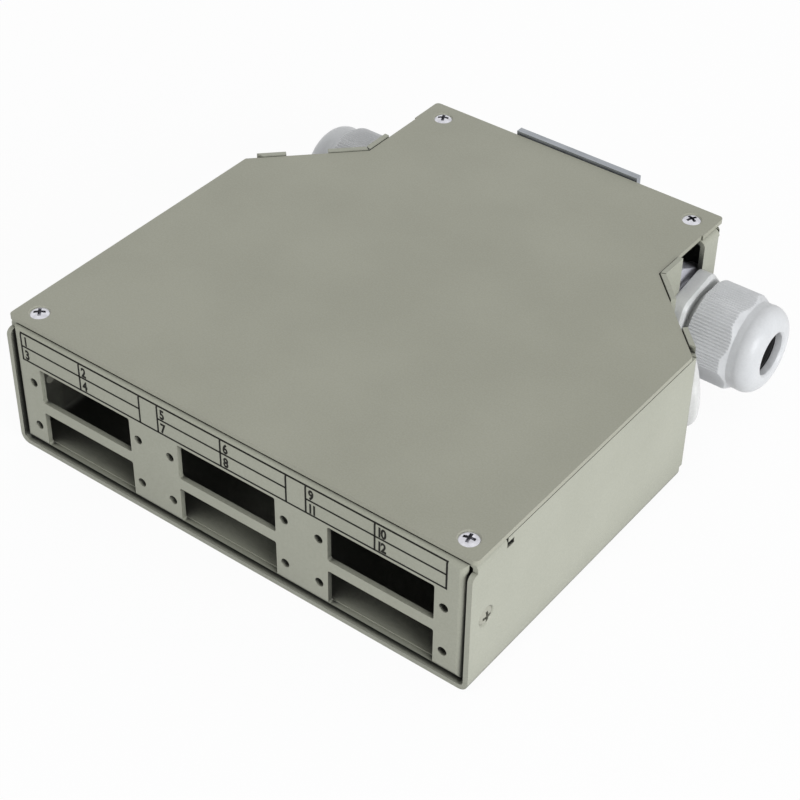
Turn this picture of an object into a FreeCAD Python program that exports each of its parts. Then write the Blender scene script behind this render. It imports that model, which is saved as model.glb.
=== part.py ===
import FreeCAD, Part
import math
import os

V = FreeCAD.Vector

# The frame used while building: X to the right, Y from the front edge towards
# the rail side, Z up from the underside. The last step moves the finished
# pieces so that the origin lies under the middle of the whole box.

# Folded sheet
SHEET = 1.2
BEND_INSIDE = 1.2
BEND_OUTSIDE = BEND_INSIDE + SHEET
SEAM = 0.3
RELIEF_R = 1.3

# Box
BOX_WIDTH = 126.8
BOX_HEIGHT = 35.8
WALL_DEPTH = 129.7
NECK_INSET = 20.2
NECK_LENGTH = 26.3
WALL_TO_LID = 0.25
LIP_ABOVE_LID = 0.3
LIP_START = 1.0
LIP_CORNER_R = 0.9
FRONT_CORNER_R = 1.6

# Lid
LID_SETBACK = 1.2
LID_OVERHANG = 1.9
LID_EDGE_GAP = 0.3
LID_NECK_INSET = 1.1
LID_CORNER_R = 1.1
LID_STEP_BEHIND_SLOT = 0.6

# Lid tabs on the walls, and the lid screws
SCREW_SHANK_R = 1.2
SCREW_THREAD_GAP = 0.05
SCREW_CLEAR = 0.25
SCREW_HEAD_R = 2.2
SCREW_HEAD_SINK = 0.95
SCREW_HEAD_DOME = 0.55
SCREW_LENGTH = 6.0
SCREW_SEAT_GAP = 0.01
SINK_R = 2.5
SCREW_CROSS_WIDTH = 0.75
SCREW_CROSS_LENGTH = 2.7
SCREW_CROSS_DEPTH = 1.1
TAB_REACH = 11.0
TAB_BEND_INSIDE = 0.5
TAB_COLLAR_R = 2.1
TAB_COLLAR = 1.4
TAB_COLLAR_RISE = 0.1
FRONT_TAB_START = 1.8
FRONT_TAB_LENGTH = 9.8
FRONT_SCREW_TO_SIDE = 5.1
FRONT_SCREW_Y = 5.8
FRONT_RELIEF = 2.3
FRONT_RELIEF_HEIGHT = 1.4
REAR_TAB_TO_BACK = 0.3
REAR_RELIEF_HEIGHT = 0.8
REAR_SCREW_TO_NECK = 6.8
REAR_SCREW_TO_BACK = 3.4
RELIEF_BELOW_BEND = 1.2
NOTCH_BELOW_BEND = 0.6

# Front panel
PANEL_RECESS = 0.2
PANEL_SIDE_GAP = 0.7
PANEL_TOP_GAP = 0.6
PANEL_FLOOR_GAP = 1.0
PANEL_BEND = 1.5
PANEL_SIDE_FLANGE = 11.0
PANEL_TOP_FLANGE = 11.0
PANEL_TOP_FLANGE_END = 1.35
PANEL_BOTTOM_FLANGE = 9.0
PANEL_TAB_CLEAR = 1.5
PANEL_TOP_NOTCH = 3.6
PANEL_BOTTOM_NOTCH = 2.2
PANEL_NOTCH_WIDTH = 1.7
PANEL_SCREW_Y = 5.4

# Adapter cut-outs in the front panel
ADAPTER_COLUMNS = 3
ADAPTER_ROWS = 2
ADAPTER_SIDE_MARGIN = 2.05
ADAPTER_PITCH_Z = 12.4
ADAPTER_LOW_Z = 7.8
ADAPTER_WIDTH = 27.0
ADAPTER_HEIGHT = 9.45
ADAPTER_CORNER_R = 0.5
ADAPTER_BEND_CUT = 1.4
ADAPTER_SCREW_PITCH = 31.7
ADAPTER_HOLE_R = 1.1

# Cable entries in the neck walls and in the slanted walls
ENTRY_BELOW_MIDDLE = 1.9
ENTRY_BEHIND_NECK_CORNER = 12.8
ENTRY_OFF_SLANT_MIDDLE = 0.5
ENTRY_HOLE_R = 8.2
ENTRY_SLOT = 10.4

# Cable gland
THREAD_R = 8.0
THREAD_LENGTH = 8.0
HEX_FLATS = 22.4
HEX_LENGTH = 4.0
HEX_ROUND = 3.5
HEX_TILT = 10.0
HEX_CHAMFER = 0.7
LOCKNUT_FLATS = 23.6
LOCKNUT_CORNER_R = 13.3
LOCKNUT_TILT = 3.0
LOCKNUT_LENGTH = 4.5
LOCKNUT_GAP = 0.05
LOCKNUT_COLLAR_R = 9.4
LOCKNUT_COLLAR = 0.8
BARREL_R = 8.8
BARREL_LENGTH = 8.6
GLAND_BORE_R = 5.6
FINGER_COUNT = 10
FINGER_SLOT = 0.7
FINGER_LENGTH = 6.0
FINGER_TIP_R = 7.5
FINGER_BORE_R = 6.6
SEAL_R = 6.3
SEAL_BORE_R = 5.0
SEAL_LENGTH = 8.0
SEAL_TO_NUT = 0.3
NUT_GAP = 1.7
NUT_FLATS = 22.4
NUT_CORNER_R = 11.9
NUT_GRIP = 9.8
NUT_RIBS = 90
NUT_RIB_DEPTH = 0.22
NUT_SMOOTH_HALF_ANGLE = 24.0
NUT_SHOULDER = 1.6
NUT_DOME_R = 10.8
NUT_DOME_LENGTH = 6.2
NUT_TIP_R = 6.9
NUT_MOUTH_R = 5.35
NUT_WALL_AT_MOUTH = 2.2
NUT_THREAD_GAP = 0.08
NUT_TRAVEL = 1.5
NUT_END_PLAY = 0.25

# Blanking plug in each slanted wall
PLUG_HEAD_R = 10.0
PLUG_HEAD = 4.0
PLUG_ROUND = 1.6
PLUG_THREAD_LENGTH = 7.0
PLUG_WALL = 1.6
PLUG_COIN_SLOT = 1.6
PLUG_COIN_SLOT_DEPTH = 1.2

# Rail clip behind the back wall
RAIL_HEIGHT = 35.0
RAIL_PLAY = 0.1
CLIP_SHEET = 1.8
CLIP_LID_GAP = 0.4
CLIP_ABOVE_BOX = 0.8
CLIP_BELOW = 0.8
CLIP_ABOVE_MIDDLE = 0.1
CLIP_FOOT_ZONE = 11.9
CLIP_CORNER_R = 1.5
LIP_GAP = 1.2
LIP_REACH = 2.0
FOOT_R = 3.3
FOOT_DRAFT = 0.6
FOOT_OFF_BAND = 6.5
RIVET_R = 1.4
RIVET_GAP = 0.05
RIVET_HEAD_R = 2.4
RIVET_HEAD = 0.8
RIVET_TAIL_R = 2.4
RIVET_TAIL = 1.8
LATCH_PLAY = 0.35
LATCH_SIDE_PLAY = 0.2
LATCH_TAIL = 9.0
LATCH_TRAVEL = 3.0
LATCH_TAB = 9.0
LATCH_TAB_SHARE = 2 / 3
LATCH_SLOT_LENGTH = 3.2
LATCH_SLOT_SHARE = 5 / 12
GUIDE_LENGTH = 5.0
GUIDE_THICK = 1.2
GUIDE_X = (-6.0, 12.5)
SPRING_LENGTH = 12.0
SPRING_LEFT_X = -3.0
SPRING_WIRE_R = 0.25
SPRING_R = 1.5
SPRING_TURNS = 7.0
SPRING_SIDE_GAP = 0.3

# Fibre keeping inside the box
HOLDER_LENGTH = 40.0
HOLDER_CHANNELS = 6
HOLDER_PITCH = 5.2
HOLDER_FIN = 1.2
HOLDER_BASE = 1.6
HOLDER_FIN_HEIGHT = 9.0
HOLDER_BEAD = 0.35
HOLDER_TO_SHOULDER = 21.2
HOLDER_EAR = 7.0
HOLDER_GAP_X = 12.0
GUIDE_RING_R = 6.0
GUIDE_RING_WALL = 1.4
GUIDE_RING_WIDTH = 6.0
GUIDE_RING_OPENING = 3.0
GUIDE_RING_BASE = 1.2
GUIDE_TO_SIDE = 16.4
GUIDE_TO_SHOULDER = 17.2
GUIDE_TO_NECK = 19.2
GUIDE_TO_BACK = 17.7
POST_FLATS = 7.0
POST_HEIGHT = 6.0
POST_HOLE_R = 1.55
POST_TO_NECK = 19.2
POST_BEFORE_NECK = 3.9
CLAMP_R = 5.0
CLAMP_THICK = 1.2
CLAMP_SCREW_R = 1.5
CLAMP_HEAD_R = 2.9
CLAMP_HEAD = 2.0
CLAMP_SCREW_LENGTH = 6.0

HALF_WIDTH = BOX_WIDTH / 2
HALF_NECK = HALF_WIDTH - NECK_INSET
NECK_START = WALL_DEPTH - NECK_LENGTH
SHOULDER = NECK_START - NECK_INSET
SLANT_SUM = HALF_WIDTH + SHOULDER
FRONT_SCREW_X = HALF_WIDTH - FRONT_SCREW_TO_SIDE
REAR_SCREW_X = HALF_NECK - REAR_SCREW_TO_NECK
ADAPTER_PITCH_X = (BOX_WIDTH - 2 * ADAPTER_SIDE_MARGIN) / ADAPTER_COLUMNS
ENTRY_Z = BOX_HEIGHT / 2 - ENTRY_BELOW_MIDDLE
CLIP_Z = BOX_HEIGHT / 2 + CLIP_ABOVE_MIDDLE
CLIP_BAND = BOX_HEIGHT - 2 * CLIP_FOOT_ZONE
LATCH_TAB_WIDTH = CLIP_BAND * LATCH_TAB_SHARE
LATCH_SLOT_WIDTH = CLIP_BAND * LATCH_SLOT_SHARE
HOLDER_FRONT_Y = SHOULDER - HOLDER_TO_SHOULDER
POST_X = HALF_NECK - POST_TO_NECK
POST_Y = NECK_START - POST_BEFORE_NECK
LID_UNDER = BOX_HEIGHT - SHEET
TAB_BEND = TAB_BEND_INSIDE + SHEET
TAB_LOW = LID_UNDER - TAB_BEND
WALL_TOP = LID_UNDER - WALL_TO_LID
LIP_TOP = BOX_HEIGHT + LIP_ABOVE_LID
LID_BACK = WALL_DEPTH + LID_OVERHANG
ENTRY_Y = NECK_START + ENTRY_BEHIND_NECK_CORNER
SLOT_END_Y = ENTRY_Y + ENTRY_SLOT / 2
SLANT_MID_X = (HALF_WIDTH + HALF_NECK) / 2
SLANT_MID_Y = SLANT_SUM - SLANT_MID_X
SLANT_DIR = V(math.sqrt(0.5), math.sqrt(0.5), 0)
PANEL_HALF = HALF_WIDTH - SHEET - PANEL_SIDE_GAP
PANEL_TOP = LID_UNDER - PANEL_TOP_GAP
PANEL_BOTTOM = SHEET + PANEL_FLOOR_GAP
PANEL_SCREW_Z = BOX_HEIGHT / 2
CLIP_FRONT = LID_BACK + CLIP_LID_GAP
CLIP_REAR = CLIP_FRONT + CLIP_SHEET
CLIP_LIP_REAR = CLIP_REAR + LIP_GAP + CLIP_SHEET
HOOK_X = RAIL_HEIGHT / 2 + RAIL_PLAY
OVERALL_DEPTH = CLIP_LIP_REAR
FRONT_SHIFT = V(0, -OVERALL_DEPTH / 2, 0)

PAST = 1.0


# Simple solids

def block(x0, x1, y0, y1, z0, z1):
    return Part.makeBox(x1 - x0, y1 - y0, z1 - z0, V(x0, y0, z0))


def rod(radius, start, direction, length):
    return Part.makeCylinder(radius, length, start, direction)


def prism(points, z0, z1):
    wire = Part.makePolygon([V(x, y, z0) for x, y in points + points[:1]])
    return Part.Face(wire).extrude(V(0, 0, z1 - z0))


def turned(profile):
    # A profile of (radius, height) points is spun about the Z axis. A point
    # with a third entry "arc" is the middle of an arc to the next point.
    edges = []
    points = profile + profile[:1]
    i = 0
    while i < len(points) - 1:
        here = V(points[i][0], 0, points[i][1])
        if len(points[i + 1]) == 3:
            middle = V(points[i + 1][0], 0, points[i + 1][1])
            after = V(points[i + 2][0], 0, points[i + 2][1])
            edges.append(Part.Arc(here, middle, after).toShape())
            i = i + 2
        else:
            after = V(points[i + 1][0], 0, points[i + 1][1])
            edges.append(Part.LineSegment(here, after).toShape())
            i = i + 1
    face = Part.Face(Part.Wire(edges))
    return face.revolve(V(0, 0, 0), V(0, 0, 1), 360)


def aimed(shape, direction, position):
    # Turns a piece built along +Z to lie along the direction, then moves it.
    turn = FreeCAD.Rotation(V(0, 0, 1), direction)
    placed = shape.copy()
    placed.Placement = FreeCAD.Placement(position, turn).multiply(placed.Placement)
    return placed


def mirrored(shape):
    return shape.mirror(V(0, 0, 0), V(1, 0, 0))


def fused(shapes):
    whole = shapes[0].multiFuse(shapes[1:]) if len(shapes) > 1 else shapes[0]
    return whole.removeSplitter()


def polygon_prism(flats, corner_r, length, tilt):
    # A hexagon bar along +Z with its corners turned down to corner_r.
    reach = flats / 2 / math.cos(math.pi / 6)
    corners = []
    for k in range(6):
        angle = math.radians(60 * k + tilt)
        corners.append((reach * math.cos(angle), reach * math.sin(angle)))
    bar = prism(corners, 0, length)
    if corner_r < reach:
        bar = bar.common(Part.makeCylinder(corner_r, length))
    return bar


# Plan of the box

def plan(half_width, half_neck, slant_sum, front, back):
    right = [
        (half_width, front),
        (half_width, slant_sum - half_width),
        (half_neck, slant_sum - half_neck),
        (half_neck, back),
    ]
    left = [(-x, y) for x, y in reversed(right)]
    return right + left


def rear_upright_edges(solid, back):
    found = []
    for edge in solid.Edges:
        box = edge.BoundBox
        if box.ZMax - box.ZMin > BEND_OUTSIDE and box.YMin > back - 1e-6:
            found.append(edge)
    return found


def bottom_edges(solid, height, front):
    # The edges of the underside, all but the open front one.
    found = []
    for edge in solid.Edges:
        box = edge.BoundBox
        flat = box.ZMax - box.ZMin < 1e-6 and abs(box.ZMin - height) < 1e-6
        at_front = box.YMax - box.YMin < 1e-6 and abs(box.YMin - front) < 1e-6
        if flat and not at_front:
            found.append(edge)
    return found


def folded_shell():
    outside = prism(plan(HALF_WIDTH, HALF_NECK, SLANT_SUM, 0, WALL_DEPTH), 0, LIP_TOP)
    outside = outside.makeFillet(BEND_OUTSIDE, rear_upright_edges(outside, WALL_DEPTH))
    outside = outside.makeFillet(BEND_OUTSIDE, bottom_edges(outside, 0, 0))
    slant_inside = SLANT_SUM - SHEET * math.sqrt(2)
    inside_plan = plan(
        HALF_WIDTH - SHEET, HALF_NECK - SHEET, slant_inside, -PAST, WALL_DEPTH - SHEET
    )
    inside = prism(inside_plan, SHEET, LIP_TOP + PAST)
    inside = inside.makeFillet(BEND_INSIDE, rear_upright_edges(inside, WALL_DEPTH - SHEET))
    inside = inside.makeFillet(BEND_INSIDE, bottom_edges(inside, SHEET, -PAST))
    return outside.cut(inside)


def corner_seams():
    # Where the side, slanted and neck walls meet, the sheet was cut: a narrow
    # seam above a round relief. The rear half of each neck wall is a flap
    # of the back wall, so its seam runs under the gland and along the floor.
    corners = (
        (HALF_WIDTH, SHOULDER, math.radians(22.5), True),
        (HALF_NECK, NECK_START, math.radians(22.5), True),
        (HALF_NECK, WALL_DEPTH, math.radians(45), False),
    )
    cuts = []
    for x, y, angle, has_slit in corners:
        inward = BEND_OUTSIDE / 2
        hole = Part.makeCylinder(
            RELIEF_R,
            BEND_OUTSIDE + 2 * PAST,
            V(x - inward * math.cos(angle), y - inward * math.sin(angle), -PAST),
        )
        cuts += [hole, mirrored(hole)]
        if has_slit:
            slit = block(-3 * SHEET, SHEET, -SEAM / 2, SEAM / 2, BEND_OUTSIDE,
                         LIP_TOP + PAST)
            slit.rotate(V(0, 0, 0), V(0, 0, 1), math.degrees(angle))
            slit.translate(V(x, y, 0))
            cuts += [slit, mirrored(slit)]
    upright = block(HALF_NECK - 2 * SHEET, HALF_NECK + PAST, ENTRY_Y - SEAM / 2,
                    ENTRY_Y + SEAM / 2, BEND_OUTSIDE, ENTRY_Z - ENTRY_HOLE_R / 2)
    along = block(HALF_NECK - BEND_OUTSIDE, HALF_NECK + PAST, ENTRY_Y - SEAM / 2,
                  WALL_DEPTH - BEND_OUTSIDE / 2, BEND_OUTSIDE, BEND_OUTSIDE + SEAM)
    cuts += [upright, along, mirrored(upright), mirrored(along)]
    return cuts


def lid_tab(outer_x, y0, y1, screw_x, screw_y):
    # The wall turns inwards over a bend and lies flat under the lid.
    top = LID_UNDER
    low = TAB_LOW
    tip = outer_x - TAB_REACH
    centre = V(outer_x - TAB_BEND, y0, low)
    half = math.sqrt(0.5)

    def on_bend(radius):
        return V(centre.x + radius * half, y0, centre.z + radius * half)

    wall_out = V(outer_x, y0, low)
    wall_in = V(outer_x - SHEET, y0, low)
    top_out = V(centre.x, y0, top)
    top_in = V(centre.x, y0, top - SHEET)
    edges = [
        Part.Arc(wall_out, on_bend(TAB_BEND), top_out).toShape(),
        Part.LineSegment(top_out, V(tip, y0, top)).toShape(),
        Part.LineSegment(V(tip, y0, top), V(tip, y0, top - SHEET)).toShape(),
        Part.LineSegment(V(tip, y0, top - SHEET), top_in).toShape(),
        Part.Arc(top_in, on_bend(TAB_BEND_INSIDE), wall_in).toShape(),
        Part.LineSegment(wall_in, wall_out).toShape(),
    ]
    tab = Part.Face(Part.Wire(edges)).extrude(V(0, y1 - y0, 0))
    collar_low = top - SHEET - TAB_COLLAR
    collar = Part.makeCylinder(
        TAB_COLLAR_R, TAB_COLLAR + TAB_COLLAR_RISE, V(screw_x, screw_y, collar_low)
    )
    hole = Part.makeCylinder(
        SCREW_SHANK_R + SCREW_THREAD_GAP,
        SHEET + TAB_COLLAR + 2 * PAST,
        V(screw_x, screw_y, collar_low - PAST),
    )
    return tab.fuse(collar).cut(hole)


def rear_tab_span():
    # From the slot in the neck wall to just before the back wall.
    return SLOT_END_Y, WALL_DEPTH - SHEET - REAR_TAB_TO_BACK


def rear_screw_y():
    return WALL_DEPTH - REAR_SCREW_TO_BACK


def slanted_lip_cut():
    # The slanted walls stand a little above the lid, with rounded ends. This
    # cut takes their corner off at the side wall.
    start = SHOULDER + LIP_START
    cut = block(
        HALF_WIDTH - 3 * BEND_OUTSIDE,
        HALF_WIDTH + PAST,
        -PAST,
        start,
        WALL_TOP,
        LIP_TOP + PAST,
    )
    return cut


def keyhole(direction, position):
    # A round gland hole with a slot up to the open top edge of the wall.
    reach = 4 * SHEET
    hole = rod(ENTRY_HOLE_R, position - direction * reach, direction, 2 * reach)
    slot = block(
        -reach, reach, -ENTRY_SLOT / 2, ENTRY_SLOT / 2, 0, LIP_TOP + PAST - ENTRY_Z
    )
    angle = math.degrees(math.atan2(direction.y, direction.x))
    slot.rotate(V(0, 0, 0), V(0, 0, 1), angle)
    slot.translate(position)
    return hole.fuse(slot)


def neck_entry():
    return V(HALF_NECK, ENTRY_Y, ENTRY_Z)


def slant_entry():
    off = ENTRY_OFF_SLANT_MIDDLE * math.sqrt(0.5)
    return V(SLANT_MID_X + off, SLANT_MID_Y - off, ENTRY_Z)


def head_slope():
    return SCREW_HEAD_SINK / (SCREW_HEAD_R - SCREW_SHANK_R)


def screw_seat():
    # How far the edge of a screw head lies below the surface it is sunk into.
    return (SINK_R - SCREW_HEAD_R) * head_slope() - SCREW_SEAT_GAP


def countersink():
    # A cutter along +Z whose wide end lies at z = 0, for a loose screw.
    hole = SCREW_SHANK_R + SCREW_CLEAR
    depth = (SINK_R - hole) * head_slope()
    return turned([
        (0, PAST), (SINK_R + PAST * 0.2, PAST), (SINK_R, 0),
        (hole, -depth), (hole, -8 * PAST), (0, -8 * PAST),
    ])


def tray():
    body = folded_shell()
    top = LIP_TOP + PAST
    rear_start, rear_end = rear_tab_span()
    front_end = FRONT_TAB_START + FRONT_TAB_LENGTH
    notch_low = TAB_LOW - NOTCH_BELOW_BEND
    relief_low = TAB_LOW - RELIEF_BELOW_BEND
    relief_top = relief_low + FRONT_RELIEF_HEIGHT
    wide = HALF_WIDTH + PAST
    neck_in = HALF_NECK - BEND_OUTSIDE
    neck_out = HALF_NECK + PAST
    side_in = HALF_WIDTH - BEND_OUTSIDE
    cuts = [
        block(-wide, wide, SLOT_END_Y, WALL_DEPTH + PAST, WALL_TOP, top),
    ]
    right_cuts = [
        slanted_lip_cut(),
        block(side_in, wide, FRONT_TAB_START, front_end, TAB_LOW, top),
        block(side_in, wide, front_end, front_end + FRONT_RELIEF, relief_low, relief_top),
        block(side_in, wide, front_end, front_end + SEAM, relief_low, top),
        block(side_in, wide, -PAST, FRONT_TAB_START, notch_low, top),
        block(neck_in, neck_out, rear_start, rear_end, TAB_LOW, top),
        block(neck_in, neck_out, rear_end, WALL_DEPTH - SHEET,
              LID_UNDER - REAR_RELIEF_HEIGHT, top),
        keyhole(V(1, 0, 0), neck_entry()),
        keyhole(SLANT_DIR, slant_entry()),
        aimed(
            countersink(),
            V(1, 0, 0),
            V(HALF_WIDTH, PANEL_SCREW_Y, PANEL_SCREW_Z),
        ),
        front_corner_cut(),
    ]
    cuts += right_cuts + [mirrored(cut) for cut in right_cuts]
    cuts += corner_seams()
    for z in rivet_heights():
        cuts.append(rod(RIVET_R + RIVET_GAP, V(0, WALL_DEPTH + PAST, z), V(0, -1, 0),
                        SHEET + 2 * PAST))
    for x, y in holder_screw_places():
        cuts.append(rod(SCREW_SHANK_R + SCREW_THREAD_GAP, V(x, y, -PAST), V(0, 0, 1),
                        SHEET + 2 * PAST))
    body = body.cut(cuts)
    front_tab = lid_tab(
        HALF_WIDTH, FRONT_TAB_START, front_end, FRONT_SCREW_X, FRONT_SCREW_Y
    )
    rear_tab = lid_tab(HALF_NECK, rear_start, rear_end, REAR_SCREW_X, rear_screw_y())
    tabs = [front_tab, rear_tab, mirrored(front_tab), mirrored(rear_tab)]
    return fused([body] + tabs)


def front_corner_cut():
    # Rounds the upper front corner of the side wall.
    r = FRONT_CORNER_R
    top = TAB_LOW - NOTCH_BELOW_BEND
    corner = block(
        HALF_WIDTH - 2 * SHEET, HALF_WIDTH + PAST, -PAST, r, top - r, LIP_TOP + PAST
    )
    keep = rod(r, V(HALF_WIDTH - 3 * SHEET, r, top - r), V(1, 0, 0), 6 * SHEET)
    return corner.cut(keep)


def lid():
    inset = SHEET + LID_EDGE_GAP
    side = HALF_WIDTH
    neck = HALF_NECK - inset
    slant = SLANT_SUM - inset * math.sqrt(2)
    step_y = SLOT_END_Y + LID_STEP_BEHIND_SLOT
    right = [
        (side, LID_SETBACK),
        (side, slant - side),
        (neck, slant - neck),
        (neck, step_y),
        (HALF_NECK - LID_NECK_INSET, step_y),
        (HALF_NECK - LID_NECK_INSET, LID_BACK),
    ]
    left = [(-x, y) for x, y in reversed(right)]
    plate = prism(right + left, LID_UNDER, BOX_HEIGHT)
    rounded = []
    for edge in plate.Edges:
        box = edge.BoundBox
        upright = box.ZMax - box.ZMin > SHEET / 2
        at_front = abs(box.YMin - LID_SETBACK) < 1e-3
        at_back = abs(box.YMin - LID_BACK) < 1e-3
        if upright and (at_front or at_back):
            rounded.append(edge)
    plate = plate.makeFillet(LID_CORNER_R, rounded)
    holes = [aimed(countersink(), V(0, 0, 1), place) for place in lid_screw_places()]
    return plate.cut(holes)


def lid_screw_places():
    places = []
    for x, y in ((FRONT_SCREW_X, FRONT_SCREW_Y), (REAR_SCREW_X, rear_screw_y())):
        places.append(V(x, y, BOX_HEIGHT))
        places.append(V(-x, y, BOX_HEIGHT))
    return places


def oval_screw():
    # A raised countersunk screw along +Z; the edge of its head is at z = 0.
    body = turned([
        (0, -SCREW_LENGTH), (SCREW_SHANK_R, -SCREW_LENGTH),
        (SCREW_SHANK_R, -SCREW_HEAD_SINK), (SCREW_HEAD_R, 0),
        (SCREW_HEAD_R * 0.62, SCREW_HEAD_DOME * 0.72, "arc"), (0, SCREW_HEAD_DOME),
    ])
    half_l = SCREW_CROSS_LENGTH / 2
    half_w = SCREW_CROSS_WIDTH / 2
    low = SCREW_HEAD_DOME - SCREW_CROSS_DEPTH
    arm = block(-half_l, half_l, -half_w, half_w, low, PAST)
    other = block(-half_w, half_w, -half_l, half_l, low, PAST)
    return body.cut([arm, other])


def lid_screws():
    screw = oval_screw()
    turns = (12, 40, 65, 27)
    placed = []
    for turn, place in zip(turns, lid_screw_places()):
        one = screw.copy()
        one.rotate(V(0, 0, 0), V(0, 0, 1), turn)
        placed.append(aimed(one, V(0, 0, 1), place - V(0, 0, screw_seat())))
    return Part.makeCompound(placed)


def panel_screws():
    seat_x = HALF_WIDTH - screw_seat()
    right = aimed(oval_screw(), V(1, 0, 0), V(seat_x, PANEL_SCREW_Y, PANEL_SCREW_Z))
    return Part.makeCompound([right, mirrored(right)])


# Front panel

def adapter_places():
    first = -(ADAPTER_COLUMNS - 1) / 2 * ADAPTER_PITCH_X
    places = []
    for row in range(ADAPTER_ROWS):
        for column in range(ADAPTER_COLUMNS):
            x = first + column * ADAPTER_PITCH_X
            places.append((x, ADAPTER_LOW_Z + row * ADAPTER_PITCH_Z, row == 0))
    return places


def rounded_slot(x, z, width, height, radius, y0, y1):
    solid = block(x - width / 2, x + width / 2, y0, y1, z - height / 2, z + height / 2)
    along = [e for e in solid.Edges if e.BoundBox.YMax - e.BoundBox.YMin > (y1 - y0) / 2]
    return solid.makeFillet(radius, along)


def front_edges(solid, front):
    found = []
    for edge in solid.Edges:
        box = edge.BoundBox
        if abs(box.YMax - front) < 1e-6 and abs(box.YMin - front) < 1e-6:
            found.append(edge)
    return found


def front_panel():
    y0 = PANEL_RECESS
    deep = y0 + PANEL_SIDE_FLANGE
    outside = block(-PANEL_HALF, PANEL_HALF, y0, deep, PANEL_BOTTOM, PANEL_TOP)
    outside = outside.makeFillet(PANEL_BEND, front_edges(outside, y0))
    inside = block(
        -PANEL_HALF + SHEET, PANEL_HALF - SHEET, y0 + SHEET, deep + PAST,
        PANEL_BOTTOM + SHEET, PANEL_TOP - SHEET,
    )
    inside = inside.makeFillet(PANEL_BEND - SHEET, front_edges(inside, y0 + SHEET))
    sheet = outside.cut(inside)
    wide = PANEL_HALF + PAST
    behind = deep + PAST
    mid = HALF_WIDTH - TAB_REACH - PANEL_TAB_CLEAR
    notch = PANEL_HALF - PANEL_NOTCH_WIDTH
    cuts = [
        block(-wide, wide, y0 + PANEL_TOP_FLANGE, behind, PANEL_TOP - SHEET - PAST / 2,
              PANEL_TOP + PAST),
        block(-wide, wide, y0 + PANEL_BOTTOM_FLANGE, behind, PANEL_BOTTOM - PAST,
              PANEL_BOTTOM + SHEET + PAST / 2),
    ]
    right_cuts = [
        block(notch, wide, y0 + PANEL_BEND, behind, PANEL_TOP - PANEL_TOP_NOTCH,
              PANEL_TOP + PAST),
        block(notch, wide, y0 + PANEL_BEND, behind, PANEL_BOTTOM - PAST,
              PANEL_BOTTOM + PANEL_BOTTOM_NOTCH),
        block(mid, wide, y0 + PANEL_TOP_FLANGE_END, behind, PANEL_TOP - PANEL_TOP_NOTCH,
              PANEL_TOP + PAST),
        rod(SCREW_SHANK_R + SCREW_THREAD_GAP,
            V(PANEL_HALF - 3 * SHEET, PANEL_SCREW_Y, PANEL_SCREW_Z), V(1, 0, 0),
            6 * SHEET),
    ]
    cuts += right_cuts + [mirrored(cut) for cut in right_cuts]
    for x, z, lowest in adapter_places():
        window = rounded_slot(x, z, ADAPTER_WIDTH, ADAPTER_HEIGHT, ADAPTER_CORNER_R,
                              y0 - PAST, y0 + SHEET + PAST)
        if lowest:
            # The lowest row runs into the bottom bend, whose flange stays whole.
            window = window.cut(block(-wide, wide, y0 + ADAPTER_BEND_CUT, behind, 0, z))
        cuts.append(window)
        for side in (-1, 1):
            hole_x = x + side * ADAPTER_SCREW_PITCH / 2
            cuts.append(rod(ADAPTER_HOLE_R, V(hole_x, y0 - PAST, z), V(0, 1, 0),
                            SHEET + 2 * PAST))
    return sheet.cut(cuts)


# Cable gland, built along +Z from the outer face of the wall

def gland_body():
    flange_top = HEX_LENGTH
    barrel_top = flange_top + BARREL_LENGTH
    tip = barrel_top + FINGER_LENGTH
    seat = barrel_top - NUT_TRAVEL - 1.2
    inner_end = -SHEET - THREAD_LENGTH
    hexagon = polygon_prism(HEX_FLATS, HEX_FLATS, HEX_LENGTH, 30 + HEX_TILT)
    upright = [e for e in hexagon.Edges if e.BoundBox.ZMax - e.BoundBox.ZMin > HEX_LENGTH / 2]
    hexagon = hexagon.makeFillet(HEX_ROUND, upright)
    rim = [e for e in hexagon.Edges if e.BoundBox.ZMin > HEX_LENGTH - 1e-3]
    hexagon = hexagon.makeChamfer(HEX_CHAMFER, rim)
    stem = turned([
        (0, inner_end), (THREAD_R - 0.5, inner_end), (THREAD_R, inner_end + 0.5),
        (THREAD_R, flange_top), (BARREL_R, flange_top), (BARREL_R, barrel_top),
        (FINGER_TIP_R, tip), (0, tip),
    ])
    bore = turned([
        (0, inner_end - PAST), (GLAND_BORE_R, inner_end - PAST),
        (GLAND_BORE_R, seat - SEAL_TO_NUT), (FINGER_BORE_R, seat),
        (FINGER_BORE_R, tip + PAST), (0, tip + PAST),
    ])
    body = fused([hexagon, stem]).cut(bore)
    slots = []
    for k in range(FINGER_COUNT):
        slot = block(FINGER_BORE_R - PAST, BARREL_R + PAST, -FINGER_SLOT / 2,
                     FINGER_SLOT / 2, barrel_top, tip + PAST)
        slot.rotate(V(0, 0, 0), V(0, 0, 1), 360 / FINGER_COUNT * k)
        slots.append(slot)
    return body.cut(slots)


def nut_start():
    return HEX_LENGTH + NUT_GAP


def nut_tip():
    return nut_start() + NUT_GRIP + NUT_SHOULDER + NUT_DOME_LENGTH


def ribbed_bar(z0, z1):
    # A hexagon with round corners; fine ribs run along it, but for one flat.
    points = []
    steps = 2 * NUT_RIBS
    for k in range(steps):
        angle = 360 * k / steps
        within = (angle + 30) % 60 - 30
        reach = NUT_FLATS / 2 / math.cos(math.radians(within))
        reach = min(reach, NUT_CORNER_R)
        from_flat = abs((angle + 180) % 360 - 180)
        smooth = from_flat < NUT_SMOOTH_HALF_ANGLE
        if k % 2 and not smooth:
            reach = reach - NUT_RIB_DEPTH
        a = math.radians(angle)
        points.append((reach * math.cos(a), reach * math.sin(a)))
    return prism(points, z0, z1)


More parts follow.
